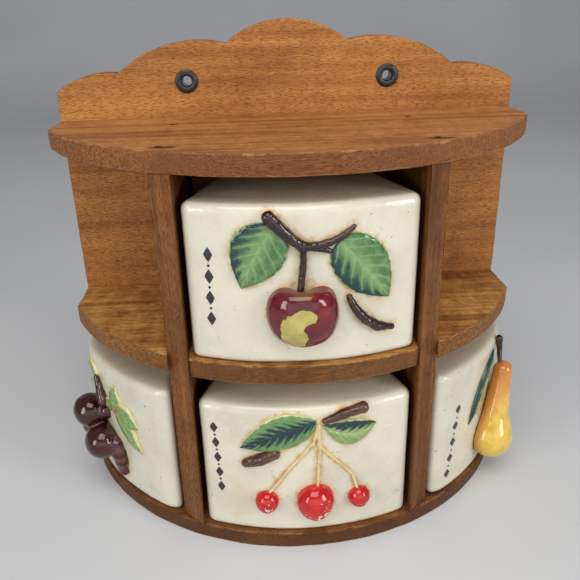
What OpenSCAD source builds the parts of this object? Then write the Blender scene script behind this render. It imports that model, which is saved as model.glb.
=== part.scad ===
// Half-round hanging spice rack with four pull-out glazed ceramic drawers.
// X runs along the wall, +Y points into the wall and Z is up.
// The origin is at the middle of the bottom of the whole object.

/* [Rack] */
// Width of the back board
rack_w = 254; // [230:1:280]
// Thickness of the shelves, dividers and back board
wood_t = 10; // [8:0.5:12]
// Height of the middle of the scalloped back board
board_h = 262; // [250:1:280]
// Underside of the top shelf above the bottom
top_shelf_z = 202.4; // [195:0.1:208]
// Underside of the middle shelf above the bottom
middle_shelf_z = 102; // [98:0.5:104]
// Distance from the back board to the front of a shelf
shelf_depth = 110; // [100:1:115]
// Length of the straight end of a shelf before its curve begins
shelf_end = 28; // [22:1:32]
// Distance between the two dividers
bay_w = 114; // [112:1:118]

/* [Drawers] */
// Height of a drawer
drawer_h = 77.5; // [74:0.5:80]
// Wall thickness of a drawer
drawer_wall = 4.5; // [3.5:0.5:6]
// Width of a middle drawer
drawer_w = 111; // [104:0.5:111.5]
// Depth of the closed part of a drawer's top behind its front
hood_depth = 60; // [52:1:66]

/* [Hardware] */
// Radius of the hole through a hanging eyelet
eyelet_hole_r = 2.7; // [2:0.1:3.5]
// Radius of the flange of a hanging eyelet
eyelet_flange_r = 6.3; // [5:0.1:8]
// Distance between the two hanging eyelets
eyelet_spacing = 111; // [100:1:120]
// Height of the hanging eyelets above the bottom
eyelet_z = 231.3; // [225:0.1:235]
// Radius of a nail's shank
nail_r = 0.9; // [0.7:0.1:1.2]
// Length of a nail
nail_len = 30; // [24:1:36]

/* [Hidden] */
$fn = 64;

half_w = rack_w / 2;

// The apple stands out furthest. Its front and the wall are equally far from the origin.
apple_r = 17.2;
apple_out = -3.7;
drawer_set_back = 2.2;
face_y = (shelf_depth + apple_r + apple_out - drawer_set_back - wood_t) / 2;

// A shelf stops just short of the ends of the back board.
shelf_half_w = half_w - 0.5;
bottom_shelf_t = wood_t - 1;
middle_z = middle_shelf_z + wood_t;

// Radius of an arc that has this half chord and this rise
function arc_r(half_chord, rise) = (half_chord * half_chord + rise * rise) / (2 * rise);
shelf_r = arc_r(shelf_half_w, shelf_depth - shelf_end);
// All the curved fronts share this centre line.
arc_y = face_y - shelf_depth + shelf_r;

// The dividers stand behind the shelf fronts and their front edges follow the curve.
divider_t = 10.7;
divider_in = bay_w / 2;
divider_out = divider_in + divider_t;
divider_mid = divider_in + divider_t / 2;
divider_front_in = 98.5;
divider_front_out = 89;
// The middle shelf and the dividers are halved into each other at this depth.
lap_depth = 50;

// Drawers stand a little inside the shelf curve and clear their bays.
drawer_r = shelf_r - drawer_set_back;
side_drawer_r = drawer_r + 1;
drawer_corner_r = 5.2;
drawer_back_y = face_y - 6;
hood_y = face_y - shelf_depth + drawer_set_back + hood_depth;
// A middle drawer is widest at its front corners. Its sides draw in behind them as far as the hood reaches.
taper = 15;
taper_len = 48;
foot_gap = 0.3;
side_gap = 1.5;
side_drawer_in = divider_out + side_gap;
side_drawer_out = half_w - 1.5;
side_drawer_front = 86.5;
side_top_depth = 34;
rim_drop = 14;

// Heights that the drawers stand at
upper_z = middle_z + foot_gap;
lower_z = bottom_shelf_t + foot_gap;

eyelet_barrel_r = 3.6;
eyelet_flange_t = 1.2;

nail_head_r = 1.5;
nail_head_t = 1;
nail_ys = [face_y - 86, face_y - 25];

leaf_t = 2.2;

// ---------- Wood ----------

// Points of an arc that rises to the right of the chord from p to q
function arc_points(p, q, rise) =
    let (length = norm(q - p), along = (q - p) / length, up = [along[1], -along[0]],
        r = arc_r(length / 2, rise), centre = (p + q) / 2 - up * (r - rise), half = asin(length / 2 / r))
    [for (i = [0:arc_steps - 1]) let (t = half * (2 * i / arc_steps - 1))
        centre + r * (up * cos(t) + along * sin(t))];

// Corner, outer cusp and inner cusp of the scalloped top, on the right
arc_steps = 20;
corner = [half_w, board_h - 34.5];
outer_cusp = [92.5, board_h - 25.5];
inner_cusp = [33.3, board_h - 11.5];
outer_rise = 3.5;
inner_rise = 7.2;
function flip(p) = [-p[0], p[1]];

module board_outline() {
    polygon(concat([[-half_w, 0], [half_w, 0]],
        arc_points(corner, outer_cusp, outer_rise),
        arc_points(outer_cusp, inner_cusp, inner_rise),
        arc_points(inner_cusp, flip(inner_cusp), board_h - inner_cusp[1]),
        arc_points(flip(inner_cusp), flip(outer_cusp), inner_rise),
        arc_points(flip(outer_cusp), flip(corner), outer_rise),
        [flip(corner)]));
}

// Lays an outline drawn in X and Z into the wall plane, from y back by depth
module upright(y, depth) {
    translate([0, y + depth, 0]) rotate([90, 0, 0]) linear_extrude(depth) children();
}

module back_board() {
    color("peru")
        difference() {
            upright(face_y, wood_t) board_outline();
            for (side = [-1, 1])
                translate([side * eyelet_spacing / 2, face_y - 1, eyelet_z])
                    rotate([-90, 0, 0]) cylinder(r = eyelet_barrel_r, h = wood_t + 2);
            back_nail_set();
        }
}

// D-shaped plan of a shelf, from the board to its curved front
module shelf_plan() {
    intersection() {
        translate([-shelf_half_w, face_y - shelf_depth - 1]) square([2 * shelf_half_w, shelf_depth + 1]);
        translate([0, arc_y]) circle(shelf_r, $fn = 180);
    }
}

module shelf(z, t) {
    translate([0, 0, z]) linear_extrude(t) shelf_plan();
}

module top_shelf() {
    color("sandybrown")
        difference() {
            shelf(top_shelf_z, wood_t);
            top_nail_set();
            back_nail_set();
        }
}

module middle_shelf() {
    color("sandybrown")
        difference() {
            shelf(middle_shelf_z, wood_t);
            for (side = [0, 1])
                mirror([side, 0, 0])
                    translate([divider_in, face_y - shelf_depth - 1, middle_shelf_z - 1])
                        cube([divider_t, shelf_depth + 1 - lap_depth, wood_t + 2]);
            back_nail_set();
        }
}

module bottom_shelf() {
    color("saddlebrown")
        difference() {
            shelf(0, bottom_shelf_t);
            bottom_nail_set();
            back_nail_set();
        }
}

module divider() {
    difference() {
        translate([0, 0, bottom_shelf_t]) linear_extrude(top_shelf_z - bottom_shelf_t)
            polygon([[divider_in, face_y], [divider_out, face_y],
                [divider_out, face_y - divider_front_out], [divider_in, face_y - divider_front_in]]);
        translate([divider_in - 1, face_y - lap_depth, middle_shelf_z])
            cube([divider_t + 2, lap_depth + 1, wood_t]);
    }
}

module right_divider() {
    color("sienna")
        difference() {
            divider();
            divider_nails();
        }
}

module left_divider() {
    color("sienna")
        difference() {
            mirror([1, 0, 0]) divider();
            divider_nails();
        }
}

// ---------- Nails and eyelets ----------

// Nail that points along +Z from its head at the origin
module nail() {
    cylinder(r = nail_head_r, h = nail_head_t);
    cylinder(r = nail_r, h = nail_len);
}

module top_nail_set() {
    for (x = [-divider_mid, divider_mid], y = nail_ys)
        translate([x, y, top_shelf_z + wood_t]) rotate([180, 0, 0]) nail();
}

module bottom_nail_set() {
    for (x = [-divider_mid, divider_mid], y = nail_ys)
        translate([x, y, 0]) nail();
}

// Nails through the back board: three into each shelf and two into each divider
module back_nail_set() {
    shelf_heights = [bottom_shelf_t / 2, middle_shelf_z + wood_t / 2, top_shelf_z + wood_t / 2];
    for (x = [-100, 0, 100], z = shelf_heights) back_nail(x, z);
    for (x = [-divider_mid, divider_mid], z = [55, 160]) back_nail(x, z);
}

module back_nail(x, z) {
    translate([x, face_y + wood_t, z]) rotate([90, 0, 0]) nail();
}

module divider_nails() {
    top_nail_set();
    bottom_nail_set();
    back_nail_set();
}

module top_nails() {
    color("dimgray") top_nail_set();
}

module bottom_nails() {
    color("dimgray") bottom_nail_set();
}

module back_nails() {
    color("dimgray") back_nail_set();
}

// Flanged tube that lines a hanging hole
module eyelet(side) {
    color("black")
        translate([side * eyelet_spacing / 2, face_y, eyelet_z]) rotate([-90, 0, 0])
            difference() {
                union() {
                    translate([0, 0, -eyelet_flange_t]) cylinder(r = eyelet_flange_r, h = eyelet_flange_t);
                    cylinder(r = eyelet_barrel_r, h = wood_t);
                }
                translate([0, 0, -eyelet_flange_t - 1])
                    cylinder(r = eyelet_hole_r, h = wood_t + eyelet_flange_t + 2);
            }
}

module left_eyelet() {
    eyelet(-1);
}

module right_eyelet() {
    eyelet(1);
}

// ---------- Drawer bodies ----------

// Centre of a corner round of radius c that touches the side x and the front arc of radius r
function round_centre(x, r, c) = [x - c, arc_y - sqrt((r - c) * (r - c) - (x - c) * (x - c))];

// Swaps the sharp corner between the side x and the front arc for a round one
module round_corner(x, r, c) {
    m = round_centre(x, r, c);
    out = [m[0], m[1] - arc_y] / (r - c);
    difference() {
        children();
        polygon([m, [m[0] + 3 * c, m[1]], [m[0] + 3 * c, m[1] - 6 * c], m + out * 3 * c]);
    }
    translate(m) circle(c);
}

// Plan of a middle drawer, set in from its outside by inset
module middle_plan(inset) {
    w = drawer_w / 2 - inset;
    c = max(drawer_corner_r - inset, 0.5);
    narrow = w - taper;
    front_y = face_y - shelf_depth;
    bend = hood_y - inset;
    back = drawer_back_y - inset;
    intersection() {
        round_corner(w, drawer_r - inset, c)
            mirror([1, 0]) round_corner(w, drawer_r - inset, c)
                intersection() {
                    translate([0, arc_y]) circle(drawer_r - inset, $fn = 180);
                    translate([-w, front_y]) square([2 * w, back - front_y]);
                }
        polygon([[-w, front_y], [w, front_y], [w, bend - taper_len], [narrow, bend], [narrow, back],
            [-narrow, back], [-narrow, bend], [-w, bend - taper_len]]);
    }
}

// Plan of the full-height hood behind a middle drawer's front
module hood_plan(inset) {
    front_y = face_y - shelf_depth;
    intersection() {
        middle_plan(inset);
        translate([-half_w, front_y]) square([rack_w, hood_y - inset - front_y]);
    }
}

// Hollow middle drawer: a high hooded front and lower sides with an open top behind
module middle_drawer(z) {
    rim_h = drawer_h - rim_drop;
    difference() {
        translate([0, 0, z]) {
            linear_extrude(rim_h) middle_plan(0);
            linear_extrude(drawer_h) hood_plan(0);
        }
        translate([0, 0, z + drawer_wall]) {
            linear_extrude(rim_h - 2 * drawer_wall) middle_plan(drawer_wall);
            linear_extrude(drawer_h - 2 * drawer_wall) hood_plan(drawer_wall);
            linear_extrude(drawer_h)
                intersection() {
                    middle_plan(drawer_wall);
                    translate([-half_w, hood_y]) square([rack_w, shelf_depth]);
                }
        }
    }
}

// Plan of the right-hand side drawer, set in from its outside by inset. Its inner front corner is cut flat.
module side_plan(inset) {
    r = side_drawer_r - inset;
    intersection() {
        translate([0, arc_y]) circle(r, $fn = 180);
        translate([side_drawer_in + inset, face_y - side_drawer_front + inset])
            square([side_drawer_out - side_drawer_in - 2 * inset,
                drawer_back_y - face_y + side_drawer_front - 2 * inset]);
    }
}

// Hollow side drawer with a top that is closed behind its curved front and open further back
module side_drawer(z) {
    difference() {
        translate([0, 0, z]) linear_extrude(drawer_h) side_plan(0);
        translate([0, 0, z + drawer_wall]) {
            linear_extrude(drawer_h - 2 * drawer_wall) side_plan(drawer_wall);
            linear_extrude(drawer_h)
                intersection() {
                    side_plan(drawer_wall);
                    translate([0, arc_y]) circle(side_drawer_r - side_top_depth, $fn = 180);
                }
        }
    }
}

module apple_drawer() {
    color("ivory") middle_drawer(upper_z);
}

module cherry_drawer() {
    color("ivory") middle_drawer(lower_z);
}

module pear_drawer() {
    color("ivory") side_drawer(lower_z);
}

module grape_drawer() {
    color("ivory") mirror([1, 0, 0]) side_drawer(lower_z);
}

// ---------- Reliefs on the drawer fronts ----------

// Stands its children on a front arc of radius r: x runs along the front and z points outwards
module on_front(r, angle, z) {
    translate([0, arc_y, z]) rotate([0, 0, angle]) translate([0, -r, 0]) rotate([90, 0, 0]) children();
}

// Keeps what lies outside a front arc of radius r
module outside(r) {
    difference() {
        children();
        translate([0, arc_y, -1]) cylinder(r = r, h = board_h, $fn = 180);
    }
}

// Point in space that stands this far out from a front arc, at an angle and a height
function spot(r, p, out) = [(r + out) * sin(p[0]), arc_y - (r + out) * cos(p[0]), p[1]];

// Ball on a front arc, at an angle and a height
module ball(r, p, out, ball_r) {
    on_front(r + out, p[0], p[1]) sphere(ball_r);
}

// Round-ended twig on a front arc, between two points of angle and height
module twig(r, from, to, r1, r2, out) {
    hull() {
        translate(spot(r, from, out)) sphere(r1, $fn = 16);
        translate(spot(r, to, out)) sphere(r2, $fn = 16);
    }
}

// Leaf blade on a front arc, pointed at both ends, between two points of angle and height
module leaf(r, base, tip, width) {
    mid = (base + tip) / 2;
    run = (tip[0] - base[0]) * PI / 180 * r;
    rise = tip[1] - base[1];
    length = norm([run, rise]);
    edge_r = arc_r(length / 2, width / 2);
    intersection() {
        on_front(r, mid[0], mid[1])
            rotate([0, 0, atan2(rise, run)])
                translate([0, 0, -4]) linear_extrude(12)
                    intersection() {
                        translate([0, edge_r - width / 2]) circle(edge_r, $fn = 90);
                        translate([0, width / 2 - edge_r]) circle(edge_r, $fn = 90);
                    }
        translate([0, arc_y, 0]) cylinder(r = r + leaf_t, h = board_h, $fn = 180);
    }
}

// Apple
apple_at = [-0.7, 138.4];
apple_fork = [-0.3, 171];

module apple_solid() {
    ball(drawer_r, apple_at, apple_out, apple_r);
}

module apple_branch_solid() {
    twig(drawer_r, [-6.6, 184.5], apple_fork, 2.8, 2.6, 1);
    twig(drawer_r, apple_fork, [9.2, 179.5], 2.6, 1.6, 1);
    twig(drawer_r, apple_fork, [-1.1, 150], 1.9, 1.6, 1);
}

module apple_twig_solid() {
    twig(drawer_r, [8.8, 145], [17.4, 127.8], 2, 2.2, 0.8);
}

module apple_knob() {
    color("darkred") outside(drawer_r) apple_solid();
}

module apple_branch() {
    color("saddlebrown")
        outside(drawer_r)
            difference() {
                apple_branch_solid();
                apple_solid();
            }
}

module apple_leaf(base, tip, width) {
    color("seagreen")
        outside(drawer_r)
            difference() {
                leaf(drawer_r, base, tip, width);
                apple_branch_solid();
                apple_twig_solid();
                apple_solid();
            }
}

module apple_left_leaf() {
    apple_leaf([-5.6, 182], [-11.9, 151.5], 25);
}

module apple_right_leaf() {
    apple_leaf([5.2, 173], [16.4, 144], 26);
}

module apple_twig() {
    color("saddlebrown") outside(drawer_r) apple_twig_solid();
}

// Cherries: angle, height and radius of each
cherries = [[-8.9, 31.2, 6.6], [1.4, 30.6, 10.4], [11, 30.8, 6.2]];
cherry_fork = [1.1, 67];
cherry_neck = [2.6, 79];

module cherry_solid(i) {
    ball(drawer_r, cherries[i], 0.5, cherries[i][2]);
}

module cherry(i) {
    color("red") outside(drawer_r) cherry_solid(i);
}

module cherry_left() {
    cherry(0);
}

module cherry_middle() {
    cherry(1);
}

module cherry_right() {
    cherry(2);
}

module cherry_stem_solid() {
    twig(drawer_r, cherry_neck, cherry_fork, 1.5, 1.4, 0.8);
    for (c = cherries) twig(drawer_r, cherry_fork, [c[0] * 0.93, c[1] + c[2] / 2], 1.4, 1.2, 0.8);
}

module cherry_stems() {
    color("khaki")
        outside(drawer_r)
            difference() {
                cherry_stem_solid();
                for (i = [0:2]) cherry_solid(i);
            }
}

module cherry_left_twig_solid() {
    twig(drawer_r, [-12.4, 55.2], [-7.2, 59.8], 3, 2.6, 0.6);
}

module cherry_right_twig_solid() {
    twig(drawer_r, [3.8, 81.6], [11.6, 84.2], 2, 2.4, 0.6);
}

module cherry_leaf(base, tip, width) {
    color("seagreen")
        outside(drawer_r)
            difference() {
                leaf(drawer_r, base, tip, width);
                cherry_stem_solid();
                cherry_left_twig_solid();
                cherry_right_twig_solid();
            }
}

module cherry_left_leaf() {
    cherry_leaf([1.4, 79], [-14.2, 63], 20);
}

module cherry_right_leaf() {
    cherry_leaf([3.4, 76.5], [14.5, 71.5], 16);
}

module cherry_left_twig() {
    color("saddlebrown") outside(drawer_r) cherry_left_twig_solid();
}

module cherry_right_twig() {
    color("saddlebrown")
        outside(drawer_r)
            difference() {
                cherry_right_twig_solid();
                cherry_stem_solid();
            }
}

// Grapes: angle, height, radius and distance out from the drawer's front
grapes = [[-59, 52, 9, 7.5], [-55, 37.5, 8.8, 7.5], [-60.5, 40, 6.8, 4], [-54.5, 57.5, 6.5, 3],
    [-51.5, 46.5, 6.5, 3], [-50.8, 36, 5.8, 2.5], [-49.2, 28.5, 4.6, 1.8], [-49.2, 21, 3.8, 1.5]];

module grape_solid() {
    for (g = grapes) ball(side_drawer_r, g, g[3], g[2]);
}

module grape_stem_solid() {
    twig(side_drawer_r, [-53.5, 62], [-57, 73.5], 2.6, 2, 1);
}

module grape_bunch() {
    color("maroon") outside(side_drawer_r) grape_solid();
}

module grape_stem() {
    color("maroon")
        outside(side_drawer_r)
            difference() {
                grape_stem_solid();
                grape_solid();
            }
}

module grape_leaf(base, tip, width) {
    color("seagreen")
        outside(side_drawer_r)
            difference() {
                leaf(side_drawer_r, base, tip, width);
                grape_solid();
                grape_stem_solid();
            }
}

module grape_upper_leaf() {
    grape_leaf([-58, 70], [-61.5, 83.5], 9);
}

module grape_lower_leaf() {
    grape_leaf([-49.8, 75], [-40.3, 41.5], 19);
}

// Pear
pear_at = [52.2, 29.5];
pear_r = 12;
pear_neck = [55.6, 66];
pear_neck_r = 5.6;

module pear_solid() {
    body = spot(side_drawer_r, pear_at, 4);
    neck = spot(side_drawer_r, pear_neck, 3);
    v = neck - body;
    // The cone that joins the two balls ends just inside both of them.
    slope = asin((pear_r - pear_neck_r) / norm(v));
    ball(side_drawer_r, pear_at, 4, pear_r);
    ball(side_drawer_r, pear_neck, 3, pear_neck_r);
    translate(body) rotate([0, acos(v[2] / norm(v)), atan2(v[1], v[0])])
        translate([0, 0, pear_r * sin(slope)])
            cylinder(r1 = pear_r * cos(slope) - 0.3, r2 = pear_neck_r * cos(slope) - 0.3,
                h = norm(v) - (pear_r - pear_neck_r) * sin(slope));
}

module pear_twig_solid() {
    twig(side_drawer_r, [56, 67], [58.6, 83.5], 2, 2.2, 1);
}

module pear_knob() {
    color("goldenrod") outside(side_drawer_r) pear_solid();
}

module pear_twig() {
    color("saddlebrown")
        outside(side_drawer_r)
            difference() {
                pear_twig_solid();
                pear_solid();
            }
}

module pear_leaf() {
    color("darkslategray")
        outside(side_drawer_r)
            difference() {
                leaf(side_drawer_r, [54.5, 80.5], [44, 45.5], 12);
                pear_solid();
                pear_twig_solid();
            }
}

back_board();
top_shelf();
middle_shelf();
bottom_shelf();
left_divider();
right_divider();
left_eyelet();
right_eyelet();
top_nails();
back_nails();
bottom_nails();
apple_drawer();
apple_knob();
apple_branch();
apple_left_leaf();
apple_right_leaf();
apple_twig();
cherry_drawer();
cherry_left();
cherry_middle();
cherry_right();
cherry_stems();
cherry_left_leaf();
cherry_right_leaf();
cherry_left_twig();
cherry_right_twig();
grape_drawer();
grape_bunch();
grape_stem();
grape_upper_leaf();
grape_lower_leaf();
pear_drawer();
pear_knob();
pear_twig();
pear_leaf();
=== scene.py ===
import math

import bpy
import numpy as np
from mathutils import Matrix, Vector, noise


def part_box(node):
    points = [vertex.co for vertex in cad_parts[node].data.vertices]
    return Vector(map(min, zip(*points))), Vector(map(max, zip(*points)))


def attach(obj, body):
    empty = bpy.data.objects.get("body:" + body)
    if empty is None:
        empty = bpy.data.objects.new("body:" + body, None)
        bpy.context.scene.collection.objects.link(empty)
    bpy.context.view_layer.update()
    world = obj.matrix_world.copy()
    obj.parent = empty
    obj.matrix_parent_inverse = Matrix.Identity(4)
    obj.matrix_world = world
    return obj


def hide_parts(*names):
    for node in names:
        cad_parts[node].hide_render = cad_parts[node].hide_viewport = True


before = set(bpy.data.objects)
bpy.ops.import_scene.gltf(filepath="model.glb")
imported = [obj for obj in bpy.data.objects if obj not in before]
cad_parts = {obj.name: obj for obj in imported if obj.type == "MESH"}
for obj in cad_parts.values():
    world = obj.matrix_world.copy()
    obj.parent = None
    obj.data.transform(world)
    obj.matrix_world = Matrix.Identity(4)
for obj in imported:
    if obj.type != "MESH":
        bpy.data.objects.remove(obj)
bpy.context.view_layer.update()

# ---------- Sizes, in millimetres, in the row frame ----------

MM = 0.001


def span(node):
    """Low and high corners of a CAD node, in millimetres."""
    return [np.array(corner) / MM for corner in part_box(node)]


BOARD_LOW, BOARD_HIGH = span("back_board")
FACE_Y = BOARD_LOW[1]
SHELF_DEPTH, SHELF_END = 110.0, 28.0
SHELF_HALF_W = span("top_shelf")[1][0]


def arc_radius(half_chord, rise):
    return (half_chord**2 + rise**2) / (2 * rise)


SHELF_R = arc_radius(SHELF_HALF_W, SHELF_DEPTH - SHELF_END)
ARC_Y = FACE_Y - SHELF_DEPTH + SHELF_R
DRAWER_SET_BACK = 2.2
DRAWER_R = SHELF_R - DRAWER_SET_BACK
SIDE_R = DRAWER_R + 1
DRAWER_W = 111.0
DRAWER_H = 77.5
DRAWER_BACK = FACE_Y - 6
WALL = 4.5
UPPER_Z, LOWER_Z = span("apple_drawer")[0][2], span("cherry_drawer")[0][2]
SIDE_IN, SIDE_OUT = span("pear_drawer")[0][0], span("pear_drawer")[1][0]
DIVIDER_IN, DIVIDER_T = 57.0, 10.7
DIVIDER_OUT = DIVIDER_IN + DIVIDER_T
# How far the inner and outer faces of a divider reach from the board, and where the middle shelf crosses it
DIVIDER_DEPTH_IN, DIVIDER_DEPTH_OUT = 98.5, 89.0
LAP = 50.0


# ---------- Small helpers ----------


def rgb(r, g, b):
    """Colour from 0 to 255 to linear light."""
    out = []
    for v in (r, g, b):
        v /= 255
        out.append(v / 12.92 if v < 0.04045 else ((v + 0.055) / 1.055) ** 2.4)
    return (*out, 1.0)


def make(name, verts, faces, body, material, node=None, attributes=None, flat=()):
    """A piece from points in millimetres. It rides on a body and can stand for a CAD node."""
    mesh = bpy.data.meshes.new(name)
    mesh.from_pydata((np.asarray(verts) * MM).tolist(), [], [list(map(int, f)) for f in faces])
    mesh.validate()
    mesh.update()
    smooth = np.ones(len(mesh.polygons), bool)
    smooth[list(flat)] = False
    mesh.polygons.foreach_set("use_smooth", smooth)
    for key, values in (attributes or {}).items():
        values = np.asarray(values, np.float32)
        kind, word = ("FLOAT", "value") if values.ndim == 1 else ("FLOAT_VECTOR", "vector")
        mesh.attributes.new(key, kind, "POINT").data.foreach_set(word, values.ravel())
    mesh.materials.append(material)
    ob = bpy.data.objects.new(name, mesh)
    bpy.context.scene.collection.objects.link(ob)
    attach(ob, body)
    if node:
        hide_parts(node)
    return ob


def surface(field, lo, hi, step):
    """Points and quads of the surface where field(x, y, z) is zero, by surface nets."""
    axes = [np.arange(a, b + step, step) for a, b in zip(lo, hi)]
    f = field(*np.meshgrid(*axes, indexing="ij"))
    f = np.where(np.abs(f) < 1e-6, 1e-6, f)
    inside = f < 0
    cells = tuple(n - 1 for n in f.shape)
    total = [np.zeros(cells) for _ in range(3)]
    count = np.zeros(cells)
    crossings = []
    for a in range(3):
        u, v = (a + 1) % 3, (a + 2) % 3
        low = [slice(None)] * 3
        high = [slice(None)] * 3
        low[a], high[a] = slice(0, -1), slice(1, None)
        f0, f1 = f[tuple(low)], f[tuple(high)]
        cross = inside[tuple(low)] != inside[tuple(high)]
        where = np.where(cross, f0 / np.where(cross, f0 - f1, 1), 0)
        crossings.append((cross, inside[tuple(low)]))
        for du in (0, 1):
            for dv in (0, 1):
                pick = [slice(None)] * 3
                pick[u] = slice(du, du + cells[u])
                pick[v] = slice(dv, dv + cells[v])
                c = cross[tuple(pick)]
                total[a] += where[tuple(pick)]
                total[u] += c * du
                total[v] += c * dv
                count += c
    active = count > 0
    index = np.full(cells, -1)
    index[active] = np.arange(active.sum())
    ijk = np.stack(np.nonzero(active), 1)
    offset = np.stack([t[active] / count[active] for t in total], 1)
    verts = np.array([a[0] for a in axes]) + (ijk + offset) * step
    faces = []
    for a in range(3):
        u, v = (a + 1) % 3, (a + 2) % 3
        cross, starts_inside = crossings[a]
        e = np.stack(np.nonzero(cross), 1)
        e = e[(e[:, u] > 0) & (e[:, v] > 0) & (e[:, u] < cells[u]) & (e[:, v] < cells[v])]
        corner = []
        for du, dv in ((1, 1), (0, 1), (0, 0), (1, 0)):
            c = e.copy()
            c[:, u] -= du
            c[:, v] -= dv
            corner.append(index[tuple(c.T)])
        quad = np.stack(corner, 1)
        outward = starts_inside[tuple(e.T)]
        faces.append(np.where(outward[:, None], quad, quad[:, ::-1]))
    return verts, np.concatenate(faces)


def round_max(a, b, r):
    """Intersection of two fields with its edge rounded to radius r."""
    return np.minimum(-r, np.maximum(a, b)) + np.hypot(np.maximum(r + a, 0), np.maximum(r + b, 0))


def round_min(a, b, r):
    return -round_max(-a, -b, r)


def ripple(x, y, z, size, seed):
    """Smooth wobble between about -1 and 1, from a few sine waves."""
    rng = np.random.default_rng(seed)
    out = 0
    for _ in range(5):
        k = rng.normal(size=3)
        k /= np.linalg.norm(k) * size / (2 * math.pi) * rng.uniform(0.7, 1.6)
        out = out + np.sin(k[0] * x + k[1] * y + k[2] * z + rng.uniform(0, 6.28)) / 5
    return out * 1.8


def on_front(points, radius):
    """Points (s, z, d) on a drawer front, along it, up and out from it, to the row frame."""
    p = np.asarray(points, float)
    angle = p[:, 0] / radius
    r = radius + p[:, 2]
    return np.stack([r * np.sin(angle), ARC_Y - r * np.cos(angle), p[:, 1]], 1)


def along(radius, degrees, z, d=0.0):
    """Point (s, z, d) on a front, from an angle and a height."""
    return np.array([math.radians(degrees) * radius, z, d])


def segment_distance(points, a, b):
    """Distance from points to the segment from a to b, and how far along it they are."""
    ab = b - a
    t = np.clip(((points - a) @ ab) / (ab @ ab), 0, 1)
    return np.linalg.norm(points - a - t[..., None] * ab, axis=-1), t


# ---------- Materials ----------


class Shader:
    """A node material, built a node at a time. Each paint is laid over the colour so far."""

    def __init__(self, name, colour=None):
        self.material = bpy.data.materials.new(name)
        self.material.use_nodes = True
        self.tree = self.material.node_tree
        self.tree.nodes.clear()
        self.bsdf = self.node("ShaderNodeBsdfPrincipled")
        self.put(self.node("ShaderNodeOutputMaterial").inputs[0], self.bsdf.outputs[0])
        self.place = self.node("ShaderNodeTexCoord").outputs["Object"]
        self.colour = colour

    def node(self, kind, **settings):
        n = self.tree.nodes.new(kind)
        for key, value in settings.items():
            setattr(n, key, value)
        return n

    def put(self, socket, value):
        if isinstance(value, bpy.types.NodeSocket):
            self.tree.links.new(value, socket)
        else:
            socket.default_value = value

    def math(self, operation, a, b=0.0):
        n = self.node("ShaderNodeMath", operation=operation)
        self.put(n.inputs[0], a)
        self.put(n.inputs[1], b)
        return n.outputs[0]

    def times(self, a, b):
        return self.math("MULTIPLY", a, b)

    def plus(self, a, b):
        return self.math("ADD", a, b)

    def minus(self, a, b):
        return self.math("SUBTRACT", a, b)

    def mix(self, factor, a, b):
        n = self.node("ShaderNodeMix", data_type="RGBA")
        for i, value in ((0, factor), (6, a), (7, b)):
            self.put(n.inputs[i], value)
        return n.outputs[2]

    def paint(self, amount, colour):
        self.colour = self.mix(amount, self.colour, colour)

    def fade(self, value, low, high, to_low=0.0, to_high=1.0):
        n = self.node("ShaderNodeMapRange", interpolation_type="SMOOTHSTEP")
        for socket, v in zip(n.inputs, (value, low, high, to_low, to_high)):
            self.put(socket, v)
        return n.outputs[0]

    def scale(self, vector, x, y, z, operation="MULTIPLY"):
        n = self.node("ShaderNodeVectorMath", operation=operation)
        self.put(n.inputs[0], vector)
        self.put(n.inputs[1], (x, y, z))
        return n.outputs[0]

    def shift(self, vector, x, y, z):
        return self.scale(vector, x, y, z, "ADD")

    def away(self, vector, middle, factors):
        """Distance from a middle, with each axis scaled by its own factor."""
        n = self.node("ShaderNodeVectorMath", operation="LENGTH")
        self.put(n.inputs[0], self.scale(self.shift(vector, *(-v for v in middle)), *factors))
        return n.outputs["Value"]

    def noise(self, scale, detail=3.0, rough=0.5, distortion=0.0, at=None):
        n = self.node("ShaderNodeTexNoise")
        self.put(n.inputs["Vector"], at or self.place)
        for key, v in (("Scale", scale), ("Detail", detail), ("Roughness", rough), ("Distortion", distortion)):
            n.inputs[key].default_value = v
        return n.outputs[0]

    def cracks(self, scale):
        n = self.node("ShaderNodeTexVoronoi", feature="DISTANCE_TO_EDGE")
        self.put(n.inputs["Vector"], self.place)
        n.inputs["Scale"].default_value = scale
        return n.outputs["Distance"]

    def attribute(self, name, vector=False):
        n = self.node("ShaderNodeAttribute", attribute_name=name)
        return n.outputs["Vector" if vector else "Fac"]

    def split(self, vector):
        n = self.node("ShaderNodeSeparateXYZ")
        self.put(n.inputs[0], vector)
        return n.outputs

    def bump(self, *heights):
        """Each height is a value and a depth in metres."""
        normal = None
        for value, depth in heights:
            n = self.node("ShaderNodeBump")
            n.inputs["Distance"].default_value = depth
            self.put(n.inputs["Height"], value)
            if normal is not None:
                self.put(n.inputs["Normal"], normal)
            normal = n.outputs[0]
        self.put(self.bsdf.inputs["Normal"], normal)

    def finish(self, roughness, coat=0.0, metallic=0.0, specular=0.5):
        for key, value in (("Base Color", self.colour), ("Roughness", roughness), ("Metallic", metallic),
                ("Coat Weight", coat), ("Coat Roughness", 0.04), ("Specular IOR Level", specular)):
            self.put(self.bsdf.inputs[key], value)
        return self.material


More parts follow.
